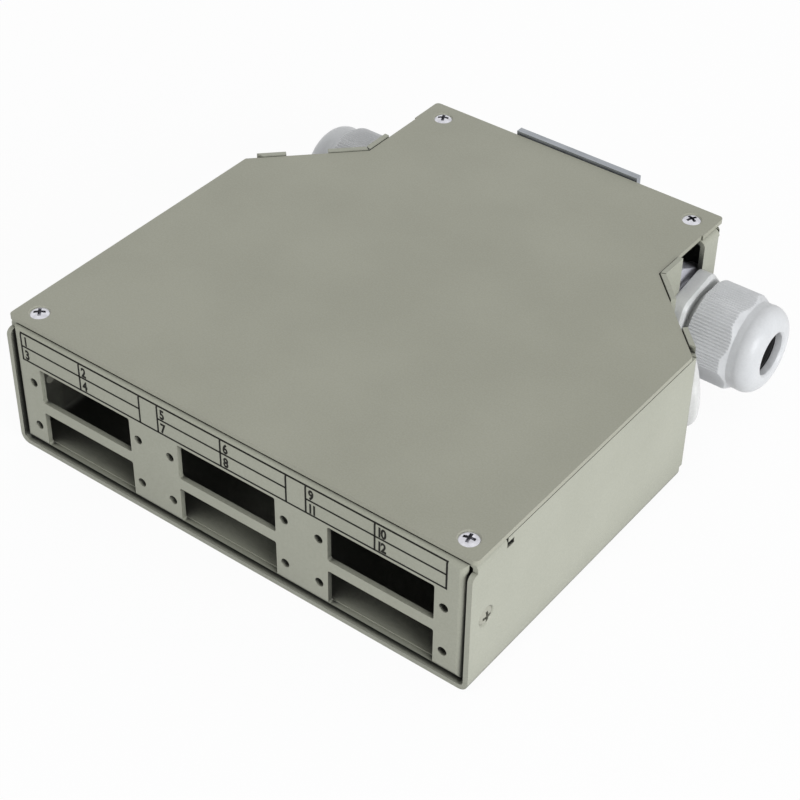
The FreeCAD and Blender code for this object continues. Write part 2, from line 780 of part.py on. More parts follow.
def gland_nut():
    z0 = nut_start()
    z1 = z0 + NUT_GRIP
    z2 = z1 + NUT_SHOULDER
    z3 = nut_tip()
    rise = NUT_DOME_LENGTH
    grip = ribbed_bar(z0, z2)
    crown = turned([
        (0, z0), (NUT_CORNER_R - 0.5, z0), (NUT_CORNER_R, z0 + 0.5), (NUT_CORNER_R, z1),
        (NUT_DOME_R, z2), (0, z2),
    ])
    grip = grip.common(crown)
    dome = turned([
        (0, z2 - PAST), (NUT_DOME_R, z2 - PAST), (NUT_DOME_R, z2 + rise * 0.25),
        (NUT_DOME_R - 0.9, z3 - rise * 0.22, "arc"), (NUT_TIP_R, z3),
        (NUT_MOUTH_R + 0.5, z3), (NUT_MOUTH_R, z3 - 0.5), (0, z3 - 0.5),
    ])
    barrel_end = HEX_LENGTH + BARREL_LENGTH
    finger_end = barrel_end + FINGER_LENGTH
    thread_r = BARREL_R + NUT_THREAD_GAP
    seat = z3 - NUT_WALL_AT_MOUTH
    cone_end = finger_end + NUT_TRAVEL + NUT_END_PLAY
    inside = turned([
        (0, z0 - PAST), (thread_r, z0 - PAST), (thread_r, barrel_end + NUT_TRAVEL + NUT_END_PLAY),
        (FINGER_TIP_R + NUT_THREAD_GAP, cone_end), (SEAL_R + SEAL_TO_NUT, cone_end),
        (SEAL_R + SEAL_TO_NUT, seat), (NUT_MOUTH_R, seat), (NUT_MOUTH_R, z3 + PAST),
        (0, z3 + PAST),
    ])
    return fused([grip, dome]).cut(inside)


def gland_seal():
    end = nut_tip() - NUT_WALL_AT_MOUTH - SEAL_TO_NUT
    start = end - SEAL_LENGTH
    return turned([
        (SEAL_BORE_R, start), (SEAL_R - 0.4, start), (SEAL_R, start + 0.4),
        (SEAL_R, end), (SEAL_BORE_R, end),
    ])


def locknut(tilt):
    # Sits against the inner face of the wall, collar first.
    top = -SHEET
    low = top - LOCKNUT_LENGTH
    bar = polygon_prism(LOCKNUT_FLATS, LOCKNUT_CORNER_R, LOCKNUT_LENGTH - LOCKNUT_COLLAR,
                        tilt)
    bar.translate(V(0, 0, low))
    collar = Part.makeCylinder(LOCKNUT_COLLAR_R, LOCKNUT_COLLAR,
                               V(0, 0, top - LOCKNUT_COLLAR))
    hole = Part.makeCylinder(THREAD_R + LOCKNUT_GAP, LOCKNUT_LENGTH + 2 * PAST,
                             V(0, 0, low - PAST))
    return fused([bar, collar]).cut(hole)


def blanking_plug():
    inner_end = -SHEET - PLUG_THREAD_LENGTH
    head = turned([
        (0, 0), (PLUG_HEAD_R, 0), (PLUG_HEAD_R, PLUG_HEAD - PLUG_ROUND),
        (PLUG_HEAD_R - PLUG_ROUND * 0.3, PLUG_HEAD - PLUG_ROUND * 0.3, "arc"),
        (PLUG_HEAD_R - PLUG_ROUND, PLUG_HEAD), (0, PLUG_HEAD),
    ])
    stem = turned([
        (THREAD_R - PLUG_WALL, inner_end), (THREAD_R - 0.5, inner_end),
        (THREAD_R, inner_end + 0.5), (THREAD_R, 0), (THREAD_R - PLUG_WALL, 0),
    ])
    slot = block(-PLUG_HEAD_R * 0.7, PLUG_HEAD_R * 0.7, -PLUG_COIN_SLOT / 2,
                 PLUG_COIN_SLOT / 2, PLUG_HEAD - PLUG_COIN_SLOT_DEPTH, PLUG_HEAD + PAST)
    return fused([head, stem]).cut(slot)


# Rail clip

def rivet_heights():
    off = CLIP_BAND / 2 + FOOT_OFF_BAND
    return (CLIP_Z - off, CLIP_Z + off)


def latch_sheet():
    return CLIP_FRONT - WALL_DEPTH - 2 * LATCH_PLAY


def hook(side, web_x, start_y, thick):
    # A leg that turns back past the rail's edge and ends in an inward lip.
    half = CLIP_BAND / 2
    x_out = web_x + thick
    web = block(web_x, x_out, start_y, CLIP_LIP_REAR, CLIP_Z - half, CLIP_Z + half)
    lip = block(web_x - LIP_REACH, x_out, CLIP_LIP_REAR - thick, CLIP_LIP_REAR,
                CLIP_Z - half, CLIP_Z + half)
    leg = fused([web, lip])
    outer = []
    for edge in leg.Edges:
        box = edge.BoundBox
        upright = box.ZMax - box.ZMin > half
        if upright and box.XMin > x_out - 1e-6 and box.YMin > CLIP_LIP_REAR - 1e-6:
            outer.append(edge)
    leg = leg.makeFillet(CLIP_CORNER_R, outer)
    return leg if side > 0 else mirrored(leg)


def clip_plate():
    half = CLIP_BAND / 2
    top = BOX_HEIGHT + CLIP_ABOVE_BOX
    plate = block(-HOOK_X, HOOK_X, CLIP_FRONT, CLIP_REAR, CLIP_BELOW, top)
    arm = block(-HOOK_X - CLIP_SHEET, -HOOK_X + PAST, CLIP_FRONT, CLIP_REAR,
                CLIP_Z - half, CLIP_Z + half)
    pieces = [plate, arm, hook(-1, HOOK_X, CLIP_FRONT, CLIP_SHEET)]
    standoff = CLIP_FRONT - WALL_DEPTH
    cuts = []
    for z in rivet_heights():
        foot = Part.makeCone(FOOT_R, FOOT_R + FOOT_DRAFT, standoff + CLIP_SHEET / 2,
                             V(0, WALL_DEPTH, z), V(0, 1, 0))
        pieces.append(foot)
        pocket = Part.makeCone(FOOT_R - CLIP_SHEET / 3, FOOT_R, standoff + PAST,
                               V(0, WALL_DEPTH + CLIP_SHEET, z), V(0, 1, 0))
        cuts.append(pocket)
        cuts.append(rod(RIVET_R + RIVET_GAP, V(0, WALL_DEPTH - PAST, z), V(0, 1, 0),
                        standoff + CLIP_SHEET + 2 * PAST))
    window = block(SPRING_LEFT_X - SPRING_SIDE_GAP, SPRING_LEFT_X + SPRING_LENGTH,
                   CLIP_FRONT - PAST, CLIP_REAR + PAST, spring_low(), spring_high())
    cuts.append(window)
    guide_low = WALL_DEPTH + LATCH_PLAY
    for x in GUIDE_X:
        for side in (-1, 1):
            near = CLIP_Z + side * half
            far = near + side * GUIDE_THICK
            beyond = far + side * (CLIP_FRONT - guide_low)
            pieces.append(block(x - GUIDE_LENGTH / 2, x + GUIDE_LENGTH / 2, guide_low,
                                CLIP_FRONT + CLIP_SHEET / 2, min(near, far),
                                max(near, far)))
            cuts.append(block(x - GUIDE_LENGTH / 2, x + GUIDE_LENGTH / 2,
                              CLIP_FRONT - PAST / 4, CLIP_REAR + PAST, min(far, beyond),
                              max(far, beyond)))
    return fused(pieces).cut(cuts)


def spring_low():
    return CLIP_Z - SPRING_R - SPRING_WIRE_R - SPRING_SIDE_GAP


def spring_high():
    return CLIP_Z + SPRING_R + SPRING_WIRE_R + SPRING_SIDE_GAP


def latch():
    y0 = WALL_DEPTH + LATCH_PLAY
    y1 = CLIP_FRONT - LATCH_PLAY
    half = CLIP_BAND / 2 - LATCH_SIDE_PLAY
    web_x = HOOK_X + RAIL_PLAY
    strip = block(-LATCH_TAIL, web_x + latch_sheet(), y0, y1, CLIP_Z - half, CLIP_Z + half)
    tab_end = web_x + latch_sheet() + LATCH_TAB
    tab = block(web_x, tab_end, y0, y1, CLIP_Z - LATCH_TAB_WIDTH / 2,
                CLIP_Z + LATCH_TAB_WIDTH / 2)
    leg = hook(1, web_x, y0, latch_sheet())
    leg = leg.common(block(0, tab_end, y0, CLIP_LIP_REAR, CLIP_Z - half, CLIP_Z + half))
    window = block(SPRING_LEFT_X, SPRING_LEFT_X + SPRING_LENGTH + SPRING_SIDE_GAP,
                   y0 - PAST, y1 + PAST, spring_low(), spring_high())
    slot_x = tab_end - 1.2 * LATCH_SLOT_LENGTH
    slot = block(slot_x - LATCH_SLOT_LENGTH / 2, slot_x + LATCH_SLOT_LENGTH / 2,
                 y0 - PAST, y1 + PAST, CLIP_Z - LATCH_SLOT_WIDTH / 2,
                 CLIP_Z + LATCH_SLOT_WIDTH / 2)
    return fused([strip, tab, leg]).cut([window, slot])


def spring():
    pitch = (SPRING_LENGTH - 2 * SPRING_WIRE_R) / SPRING_TURNS
    length = pitch * SPRING_TURNS
    path = Part.Wire(Part.makeHelix(pitch, length, SPRING_R).Edges)
    ring = Part.Wire(Part.makeCircle(SPRING_WIRE_R, V(SPRING_R, 0, 0), V(0, 1, 0)))
    coil = path.makePipeShell([ring], True, True)
    middle_y = (WALL_DEPTH + CLIP_REAR) / 2
    start = V(SPRING_LEFT_X + SPRING_WIRE_R, middle_y, CLIP_Z)
    return aimed(coil, V(1, 0, 0), start)


def clip_rivets():
    inner = WALL_DEPTH - SHEET
    seat = WALL_DEPTH + CLIP_SHEET
    placed = []
    for z in rivet_heights():
        shank = rod(RIVET_R, V(0, inner - RIVET_TAIL, z), V(0, 1, 0),
                    seat - inner + RIVET_TAIL + RIVET_HEAD)
        tail = rod(RIVET_TAIL_R, V(0, inner - RIVET_TAIL, z), V(0, 1, 0), RIVET_TAIL)
        head = rod(RIVET_HEAD_R, V(0, seat, z), V(0, 1, 0), RIVET_HEAD)
        placed.append(fused([shank, tail, head]))
    return Part.makeCompound(placed)


# Fibre keeping inside the box

def holder_screw_places():
    y = HOLDER_FRONT_Y + HOLDER_PITCH * HOLDER_CHANNELS / 2
    x = HOLDER_LENGTH / 2 + HOLDER_EAR / 2
    return [(-x, y), (x, y)]


def splice_holder():
    # A comb for splice sleeves: fins with a bead along the top edge.
    depth = HOLDER_PITCH * HOLDER_CHANNELS + HOLDER_FIN
    half = HOLDER_LENGTH / 2
    low = SHEET
    floor_top = low + HOLDER_BASE
    pieces = [block(-half, half, HOLDER_FRONT_Y, HOLDER_FRONT_Y + depth, low, floor_top)]
    for x, y in holder_screw_places():
        pieces.append(block(x - HOLDER_EAR / 2 - 0.5, x + HOLDER_EAR / 2 + 0.5,
                            y - HOLDER_EAR / 2, y + HOLDER_EAR / 2, low, floor_top))
    for k in range(HOLDER_CHANNELS + 1):
        y = HOLDER_FRONT_Y + k * HOLDER_PITCH
        top = floor_top + HOLDER_FIN_HEIGHT
        for side in (-1, 1):
            x0 = side * HOLDER_GAP_X / 2
            x1 = side * half
            pieces.append(block(min(x0, x1), max(x0, x1), y, y + HOLDER_FIN, low, top))
            pieces.append(block(min(x0, x1), max(x0, x1), y - HOLDER_BEAD,
                                y + HOLDER_FIN + HOLDER_BEAD, top - HOLDER_FIN, top))
    whole = fused(pieces)
    holes = [
        rod(SCREW_SHANK_R + SCREW_CLEAR, V(x, y, 0), V(0, 0, 1), floor_top + PAST)
        for x, y in holder_screw_places()
    ]
    return whole.cut(holes)


def pan_screw(radius, head_r, head, length):
    # A pan head screw along +Z; the underside of its head is at z = 0.
    body = turned([
        (0, -length), (radius, -length), (radius, 0), (head_r, 0), (head_r, head * 0.55),
        (head_r * 0.86, head * 0.88, "arc"), (head_r * 0.45, head), (0, head),
    ])
    arm = block(-head_r * 0.55, head_r * 0.55, -0.3, 0.3, head * 0.4, head + PAST)
    other = block(-0.3, 0.3, -head_r * 0.55, head_r * 0.55, head * 0.4, head + PAST)
    return body.cut([arm, other])


def holder_screws():
    length = HOLDER_BASE + SHEET - SCREW_CLEAR
    screw = pan_screw(SCREW_SHANK_R, SCREW_HEAD_R, CLAMP_HEAD * 0.7, length)
    top = SHEET + HOLDER_BASE
    placed = [aimed(screw, V(0, 0, 1), V(x, y, top)) for x, y in holder_screw_places()]
    return Part.makeCompound(placed)


def guide_places():
    wide_x = HALF_WIDTH - GUIDE_TO_SIDE
    neck_x = HALF_NECK - GUIDE_TO_NECK
    front_y = SHOULDER - GUIDE_TO_SHOULDER
    back_y = WALL_DEPTH - GUIDE_TO_BACK
    return ((-wide_x, front_y), (wide_x, front_y), (-neck_x, back_y), (neck_x, back_y))


def fibre_guide(x, y):
    # An open ring on a glued foot; fibres are slipped in through its gap.
    r_in = GUIDE_RING_R - GUIDE_RING_WALL
    half = GUIDE_RING_WIDTH / 2
    centre = SHEET + GUIDE_RING_BASE + GUIDE_RING_R - GUIDE_RING_WALL / 2
    start = V(x, y - half, centre)
    ring = rod(GUIDE_RING_R, start, V(0, 1, 0), GUIDE_RING_WIDTH)
    bore = rod(r_in, start - V(0, PAST, 0), V(0, 1, 0), GUIDE_RING_WIDTH + 2 * PAST)
    gap = block(x - GUIDE_RING_OPENING / 2, x + GUIDE_RING_OPENING / 2, y - half - PAST,
                y + half + PAST, centre, centre + GUIDE_RING_R + PAST)
    foot = block(x - GUIDE_RING_R, x + GUIDE_RING_R, y - half, y + half, SHEET,
                 SHEET + GUIDE_RING_BASE)
    return fused([ring, foot]).cut([bore, gap])


def clamp_post(x):
    bar = polygon_prism(POST_FLATS, POST_FLATS, POST_HEIGHT, 0)
    hole = Part.makeCylinder(POST_HOLE_R, POST_HEIGHT, V(0, 0, SHEET))
    return aimed(bar.cut(hole), V(0, 0, 1), V(x, POST_Y, SHEET))


def clamp_washer(x):
    low = SHEET + POST_HEIGHT
    hole = CLAMP_SCREW_R + SCREW_CLEAR
    ring = turned([(hole, 0), (CLAMP_R, 0), (CLAMP_R, CLAMP_THICK), (hole, CLAMP_THICK)])
    return aimed(ring, V(0, 0, 1), V(x, POST_Y, low))


def clamp_screw(x):
    screw = pan_screw(CLAMP_SCREW_R, CLAMP_HEAD_R, CLAMP_HEAD,
                      CLAMP_THICK + CLAMP_SCREW_LENGTH - SHEET)
    return aimed(screw, V(0, 0, 1), V(x, POST_Y, SHEET + POST_HEIGHT + CLAMP_THICK))


# All pieces

def pieces():
    made = {
        "tray": tray(),
        "lid": lid(),
        "lid_screws": lid_screws(),
        "front_panel": front_panel(),
        "panel_screws": panel_screws(),
        "rail_clip": clip_plate(),
        "rail_latch": latch(),
        "latch_spring": spring(),
        "clip_rivets": clip_rivets(),
        "splice_holder": splice_holder(),
        "holder_screws": holder_screws(),
    }
    for number, place in enumerate(guide_places(), start=1):
        made["fibre_guide_%d" % number] = fibre_guide(place[0], place[1])
    for name, sign in (("right", 1), ("left", -1)):
        made[name + "_clamp_post"] = clamp_post(sign * POST_X)
        made[name + "_clamp_washer"] = clamp_washer(sign * POST_X)
        made[name + "_clamp_screw"] = clamp_screw(sign * POST_X)
    gland = {
        "gland_body": gland_body(),
        "gland_locknut": locknut(LOCKNUT_TILT),
        "gland_seal": gland_seal(),
        "gland_nut": gland_nut(),
    }
    plug = {
        "plug": blanking_plug(),
        "plug_locknut": locknut(30),
    }
    for name, shape in gland.items():
        placed = aimed(shape, V(1, 0, 0), neck_entry())
        made["right_" + name] = placed
        made["left_" + name] = mirrored(placed)
    for name, shape in plug.items():
        placed = aimed(shape, SLANT_DIR, slant_entry())
        made["right_" + name] = placed
        made["left_" + name] = mirrored(placed)
    return made


os.makedirs("parts", exist_ok=True)
for node, shape in pieces().items():
    moved = shape.copy()
    moved.translate(FRONT_SHIFT)
    moved.exportStep("parts/" + node + ".step")
    print(node, len(moved.Solids), moved.isValid(), round(moved.Volume, 2))
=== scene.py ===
import math

import bmesh
import bpy
from mathutils import Matrix, Vector


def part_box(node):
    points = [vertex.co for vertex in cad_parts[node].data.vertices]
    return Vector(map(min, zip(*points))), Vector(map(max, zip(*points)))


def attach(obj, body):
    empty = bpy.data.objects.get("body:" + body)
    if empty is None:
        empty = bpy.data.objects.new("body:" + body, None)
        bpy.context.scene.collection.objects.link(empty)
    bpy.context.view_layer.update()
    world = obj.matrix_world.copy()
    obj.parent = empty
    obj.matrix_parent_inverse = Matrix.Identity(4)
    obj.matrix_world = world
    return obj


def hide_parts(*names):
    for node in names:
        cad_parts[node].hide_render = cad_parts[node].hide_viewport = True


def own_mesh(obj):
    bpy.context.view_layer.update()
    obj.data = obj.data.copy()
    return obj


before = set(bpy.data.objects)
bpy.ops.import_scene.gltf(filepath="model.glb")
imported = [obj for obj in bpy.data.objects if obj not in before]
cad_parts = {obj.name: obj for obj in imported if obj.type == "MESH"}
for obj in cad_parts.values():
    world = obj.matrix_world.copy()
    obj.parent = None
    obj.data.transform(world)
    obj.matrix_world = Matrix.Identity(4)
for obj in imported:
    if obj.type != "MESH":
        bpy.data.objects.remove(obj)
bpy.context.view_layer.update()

# The studio: a white floor, a pale room all round it, and one large soft lamp
# on the right, so that the right wall of the box is its brightest side and
# the lid its darkest.

WHITE = (1.0, 1.0, 1.0, 1.0)
ROOM_LIGHT = (0.98, 0.99, 1.0, 1.0)
ROOM_STRENGTH = 0.70
FLOOR_SIZE = 6.0
FLOOR_SHADE = (0.86, 0.86, 0.86, 1.0)
FLOOR_WHITENESS = 0.94
LAMP_LIGHT = (0.975, 0.99, 1.02)
LAMP_PLACE = (1.5, -0.45, 0.55)
LAMP_AIM = (0.0, 0.0, 0.02)
LAMP_DIAMETER = 0.9
LAMP_POWER = 18.5


def seen_directly(nodes, links):
    # 1 for what the camera sees straight, in a shiny face or through glass.
    path = nodes.new("ShaderNodeLightPath")
    direct = nodes.new("ShaderNodeMath")
    direct.operation = "MAXIMUM"
    links.new(path.outputs["Is Camera Ray"], direct.inputs[0])
    links.new(path.outputs["Is Glossy Ray"], direct.inputs[1])
    every = nodes.new("ShaderNodeMath")
    every.operation = "MAXIMUM"
    links.new(direct.outputs[0], every.inputs[0])
    links.new(path.outputs["Is Transmission Ray"], every.inputs[1])
    return every.outputs[0]


def white_room():
    world = bpy.data.worlds.new("white room")
    bpy.context.scene.world = world
    world.use_nodes = True
    nodes, links = world.node_tree.nodes, world.node_tree.links
    nodes.clear()
    out = nodes.new("ShaderNodeOutputWorld")
    mix = nodes.new("ShaderNodeMixShader")
    soft = nodes.new("ShaderNodeBackground")
    soft.inputs["Color"].default_value = ROOM_LIGHT
    soft.inputs["Strength"].default_value = ROOM_STRENGTH
    plain = nodes.new("ShaderNodeBackground")
    plain.inputs["Color"].default_value = WHITE
    plain.inputs["Strength"].default_value = 1.0
    links.new(seen_directly(nodes, links), mix.inputs[0])
    links.new(soft.outputs[0], mix.inputs[1])
    links.new(plain.outputs[0], mix.inputs[2])
    links.new(mix.outputs[0], out.inputs["Surface"])


def white_floor():
    # The camera sees it almost plain white, with just enough of its shading
    # left for the soft shadow of the box.
    mesh = bpy.data.meshes.new("floor")
    half = FLOOR_SIZE / 2
    corners = [(-half, -half, 0), (half, -half, 0), (half, half, 0), (-half, half, 0)]
    mesh.from_pydata(corners, [], [(0, 1, 2, 3)])
    floor = bpy.data.objects.new("floor", mesh)
    bpy.context.collection.objects.link(floor)
    material = bpy.data.materials.new("white floor")
    material.use_nodes = True
    nodes, links = material.node_tree.nodes, material.node_tree.links
    nodes.clear()
    out = nodes.new("ShaderNodeOutputMaterial")
    mix = nodes.new("ShaderNodeMixShader")
    shaded = nodes.new("ShaderNodeBsdfDiffuse")
    shaded.inputs["Color"].default_value = FLOOR_SHADE
    plain = nodes.new("ShaderNodeEmission")
    plain.inputs["Color"].default_value = WHITE
    plain.inputs["Strength"].default_value = 1.0
    whiteness = nodes.new("ShaderNodeMath")
    whiteness.operation = "MULTIPLY"
    whiteness.inputs[1].default_value = FLOOR_WHITENESS
    links.new(seen_directly(nodes, links), whiteness.inputs[0])
    links.new(whiteness.outputs[0], mix.inputs[0])
    links.new(shaded.outputs[0], mix.inputs[1])
    links.new(plain.outputs[0], mix.inputs[2])
    links.new(mix.outputs[0], out.inputs["Surface"])
    mesh.materials.append(material)


def soft_lamp():
    lamp = bpy.data.lights.new("right lamp", "AREA")
    lamp.shape = "DISK"
    lamp.size = LAMP_DIAMETER
    lamp.energy = LAMP_POWER
    lamp.color = LAMP_LIGHT
    holder = bpy.data.objects.new("right lamp", lamp)
    holder.location = LAMP_PLACE
    toward = Vector(LAMP_AIM) - Vector(LAMP_PLACE)
    holder.rotation_euler = toward.to_track_quat("-Z", "Y").to_euler()
    bpy.context.collection.objects.link(holder)


white_room()
white_floor()
soft_lamp()

# The camera looks down on the front right corner of the lid from about half
# a metre, through a long lens on a full frame.

CAMERA_PLACE = (0.20928, -0.28811, 0.29600)
CAMERA_DIRECTION = (-0.46031, 0.61525, -0.63999)
CAMERA_ROLL = math.radians(0.798)
CAMERA_LENS = 87.47
CAMERA_FRAME_WIDTH = 36.0
CAMERA_SHIFT = 0.003
CAMERA_NEAREST = 0.01

view = bpy.data.cameras.new("camera")
view.sensor_width = CAMERA_FRAME_WIDTH
view.lens = CAMERA_LENS
view.shift_x = CAMERA_SHIFT
view.clip_start = CAMERA_NEAREST
camera = bpy.data.objects.new("camera", view)
camera.location = CAMERA_PLACE
level = Vector(CAMERA_DIRECTION).to_track_quat("-Z", "Y").to_matrix().to_4x4()
turned = level @ Matrix.Rotation(CAMERA_ROLL, 4, "Z")
camera.rotation_euler = turned.to_euler()
bpy.context.collection.objects.link(camera)
bpy.context.scene.camera = camera
bpy.context.scene.view_settings.view_transform = "Standard"

# Tray: folded from 1.2 mm sheet steel, floor and walls in one piece, then
# powder coated inside and outside in a fine-textured pebble grey.

NOISE_LOW = 0.35
NOISE_HIGH = 0.65
# Painted shade for gaps and the inside of the box: its samples, how far it looks and how much it
# darkens the paint.
PAINTED_SHADE_SAMPLES = 12
PAINTED_SHADE_REACH = 0.06
PAINTED_SHADE_SHARE = 0.92
PEBBLE_HEIGHT = 0.00002


def shade_of(red, green, blue):
    # A colour as it is read off a colour chart, in 0 to 255, made linear.
    linear = []
    for value in (red, green, blue):
        part = value / 255
        linear.append(part / 12.92 if part <= 0.04045 else ((part + 0.055) / 1.055) ** 2.4)
    return (linear[0], linear[1], linear[2], 1.0)


def new_finish(name, roughness, metallic=0.0):
    material = bpy.data.materials.new(name)
    material.use_nodes = True
    nodes = material.node_tree.nodes
    shader = nodes["Principled BSDF"]
    shader.inputs["Metallic"].default_value = metallic
    shader.inputs["Roughness"].default_value = roughness
    return material


def add_grain(material, scale, detail=2.0, stretch=(1.0, 1.0, 1.0)):
    # A noise that sits still on the piece, scale waves to the metre; returns
    # its value.
    nodes, links = material.node_tree.nodes, material.node_tree.links
    place = nodes.new("ShaderNodeTexCoord")
    spread = nodes.new("ShaderNodeMapping")
    spread.inputs["Scale"].default_value = stretch
    grain = nodes.new("ShaderNodeTexNoise")
    grain.inputs["Scale"].default_value = scale
    grain.inputs["Detail"].default_value = detail
    links.new(place.outputs["Object"], spread.inputs["Vector"])
    links.new(spread.outputs[0], grain.inputs["Vector"])
    return grain.outputs["Fac"]


def blend_colours(material, amount, dark, light):
    nodes, links = material.node_tree.nodes, material.node_tree.links
    ramp = nodes.new("ShaderNodeValToRGB")
    ramp.color_ramp.elements[0].position = NOISE_LOW
    ramp.color_ramp.elements[1].position = NOISE_HIGH
    ramp.color_ramp.elements[0].color = dark
    ramp.color_ramp.elements[1].color = light
    links.new(amount, ramp.inputs[0])
    return ramp.outputs["Color"]


def mix_colours(material, first, second, share):
    nodes, links = material.node_tree.nodes, material.node_tree.links
    mix = nodes.new("ShaderNodeMix")
    mix.data_type = "RGBA"
    mix.inputs["Factor"].default_value = share
    links.new(first, mix.inputs["A"])
    links.new(second, mix.inputs["B"])
    return mix.outputs["Result"]


def vary_roughness(material, amount, low, high):
    nodes, links = material.node_tree.nodes, material.node_tree.links
    spread = nodes.new("ShaderNodeMapRange")
    spread.inputs["To Min"].default_value = low
    spread.inputs["To Max"].default_value = high
    links.new(amount, spread.inputs["Value"])
    links.new(spread.outputs[0], nodes["Principled BSDF"].inputs["Roughness"])


def add_relief(material, heights, depth):
    # A fine unevenness of the skin; each of the heights adds to the one before.
    nodes, links = material.node_tree.nodes, material.node_tree.links
    below = None
    for height in heights:
        bump = nodes.new("ShaderNodeBump")
        bump.inputs["Distance"].default_value = depth
        links.new(height, bump.inputs["Height"])
        if below is not None:
            links.new(below, bump.inputs["Normal"])
        below = bump.outputs[0]
    links.new(below, nodes["Principled BSDF"].inputs["Normal"])


def dusk(material, colour, share, reach, low=0.32, high=0.47):
    # Paints shade into the colour of what lies deep in gaps or inside the box,
    # where shade falls: darkens it by the whole share where less than the low
    # part of the view within reach is open, and not at all above the high part.
    nodes, links = material.node_tree.nodes, material.node_tree.links
    open_sky = nodes.new("ShaderNodeAmbientOcclusion")
    open_sky.samples = PAINTED_SHADE_SAMPLES
    open_sky.inputs["Distance"].default_value = reach
    fade = nodes.new("ShaderNodeMapRange")
    fade.inputs["From Min"].default_value = low
    fade.inputs["From Max"].default_value = high
    fade.inputs["To Min"].default_value = 1.0 - share
    fade.inputs["To Max"].default_value = 1.0
    links.new(open_sky.outputs["AO"], fade.inputs["Value"])
    shaded = nodes.new("ShaderNodeMix")
    shaded.data_type = "RGBA"
    shaded.blend_type = "MULTIPLY"
    shaded.inputs["Factor"].default_value = 1.0
    links.new(colour, shaded.inputs["A"])
    links.new(fade.outputs[0], shaded.inputs["B"])
    links.new(shaded.outputs["Result"], nodes["Principled BSDF"].inputs["Base Color"])


def powder_coat(name, dark, light, shade=PAINTED_SHADE_SHARE):
    # Broad clouds and fine specks of colour over a pebbled skin, with painted
    # shade darkening the gaps and the inside of the box.
    paint = new_finish(name, roughness=0.5)
    clouds = blend_colours(paint, add_grain(paint, scale=38.0, detail=3.0), dark, light)
    specks = blend_colours(paint, add_grain(paint, scale=2600.0, detail=1.0), dark, light)
    colour = mix_colours(paint, clouds, specks, share=0.5)
    dusk(paint, colour, shade, reach=PAINTED_SHADE_REACH, low=0.34)
    vary_roughness(paint, add_grain(paint, scale=900.0), low=0.44, high=0.6)
    paint.node_tree.nodes["Principled BSDF"].inputs["Specular IOR Level"].default_value = 0.55
    pebbles = add_grain(paint, scale=1500.0)
    pores = add_grain(paint, scale=5200.0, detail=1.0)
    add_relief(paint, [pebbles, pores], depth=PEBBLE_HEIGHT)
    return paint


def dress(node, finish):
    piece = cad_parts[node]
    if not piece.material_slots:
        piece.data.materials.append(finish)
    for slot in piece.material_slots:
        slot.material = finish


wall_paint = powder_coat("tray powder coat", shade_of(152, 153, 139), shade_of(163, 164, 150))
dress("tray", wall_paint)

# Lid: a flat plate of the same sheet and the same paint, cut back beside the
# slotted walls and held by four raised countersunk screws.

SCREW_RECESS_SHADE_REACH = 0.002

# The lid's copy of the paint is a little darker than the tray's: painted shade that makes the top
# face darker than the lamp alone does.
lid_shaded_paint = powder_coat("lid powder coat shaded darker", shade_of(147, 147, 132), shade_of(157, 157, 142))
dress("lid", lid_shaded_paint)


def screw_zinc():
    zinc = new_finish("bright zinc", roughness=0.3, metallic=1.0)
    patches = add_grain(zinc, scale=700.0, detail=3.0)
    colour = blend_colours(zinc, patches, shade_of(198, 198, 204), shade_of(224, 224, 230))
    # Painted shade darkens the cross recess of each screw head.
    dusk(zinc, colour, share=0.6, reach=SCREW_RECESS_SHADE_REACH)
    vary_roughness(zinc, add_grain(zinc, scale=1600.0), low=0.2, high=0.42)
    add_relief(zinc, [add_grain(zinc, scale=2400.0)], depth=0.00001)
    return zinc


screw_metal = screw_zinc()
dress("lid_screws", screw_metal)

# Front panel: a second folded sheet inside the mouth of the tray, with six
# punched cut-outs for duplex adapters; its two side screws are painted over.

panel_paint = powder_coat("panel powder coat", shade_of(152, 153, 138), shade_of(163, 164, 149))
dress("front_panel", panel_paint)
# The painted screws get less painted shade in their cross recesses than the tray gets in its
# gaps.
screw_paint = powder_coat(
    "painted screws", shade_of(146, 145, 132), shade_of(160, 160, 146), shade=0.5
)
dress("panel_screws", screw_paint)

# Port table: thin lines and plain numbers, screen printed in blackish olive
# on the panel above the cut-outs, two rows in three groups. Its upper edge
# runs onto the round bend along the top of the panel.

PANEL_BEND_RADIUS = 0.0015
PRINT_THICKNESS = 0.00003
LINE_WIDTH = 0.00046
TOP_LINE_WIDTH = 0.00034
TABLE_BELOW_EDGE = 0.00085
UPPER_ROW_HEIGHT = 0.00353
LOWER_ROW_HEIGHT = 0.00377
COLUMN_WIDTH = 0.01765
GROUP_PITCH = 0.0405
TABLE_OFF_MIDDLE = -0.00095
NUMBER_HEIGHT = 0.0025
NUMBER_SIZE = 1.38 * NUMBER_HEIGHT
NUMBER_NARROWING = 0.78
NUMBER_INDENT = 0.00052
LONG_NUMBER_INDENT = 0.0003
NUMBER_RISE = 0.00048
NUMBER_BOLD = 0.00014
NUMBER_SPACING = 0.75
NUMBER_CURVE_STEPS = 4
BEND_STEPS = 6

panel_low, panel_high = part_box("front_panel")
table_top = panel_high.z - TABLE_BELOW_EDGE
table_middle = table_top - UPPER_ROW_HEIGHT
table_bottom = table_middle - LOWER_ROW_HEIGHT
group_middles = [TABLE_OFF_MIDDLE + GROUP_PITCH * place for place in (-1, 0, 1)]
groups = [(x - COLUMN_WIDTH, x, x + COLUMN_WIDTH) for x in group_middles]


def printed_bar(mesh, x0, x1, z0, z1):
    # One bar of ink, half of it standing out and half of it in the sheet.
    size = Matrix.Diagonal((x1 - x0, 2 * PRINT_THICKNESS, z1 - z0, 1.0))
    place = Matrix.Translation(((x0 + x1) / 2, 0.0, (z0 + z1) / 2))
    bmesh.ops.create_cube(mesh, size=1.0, matrix=place @ size)


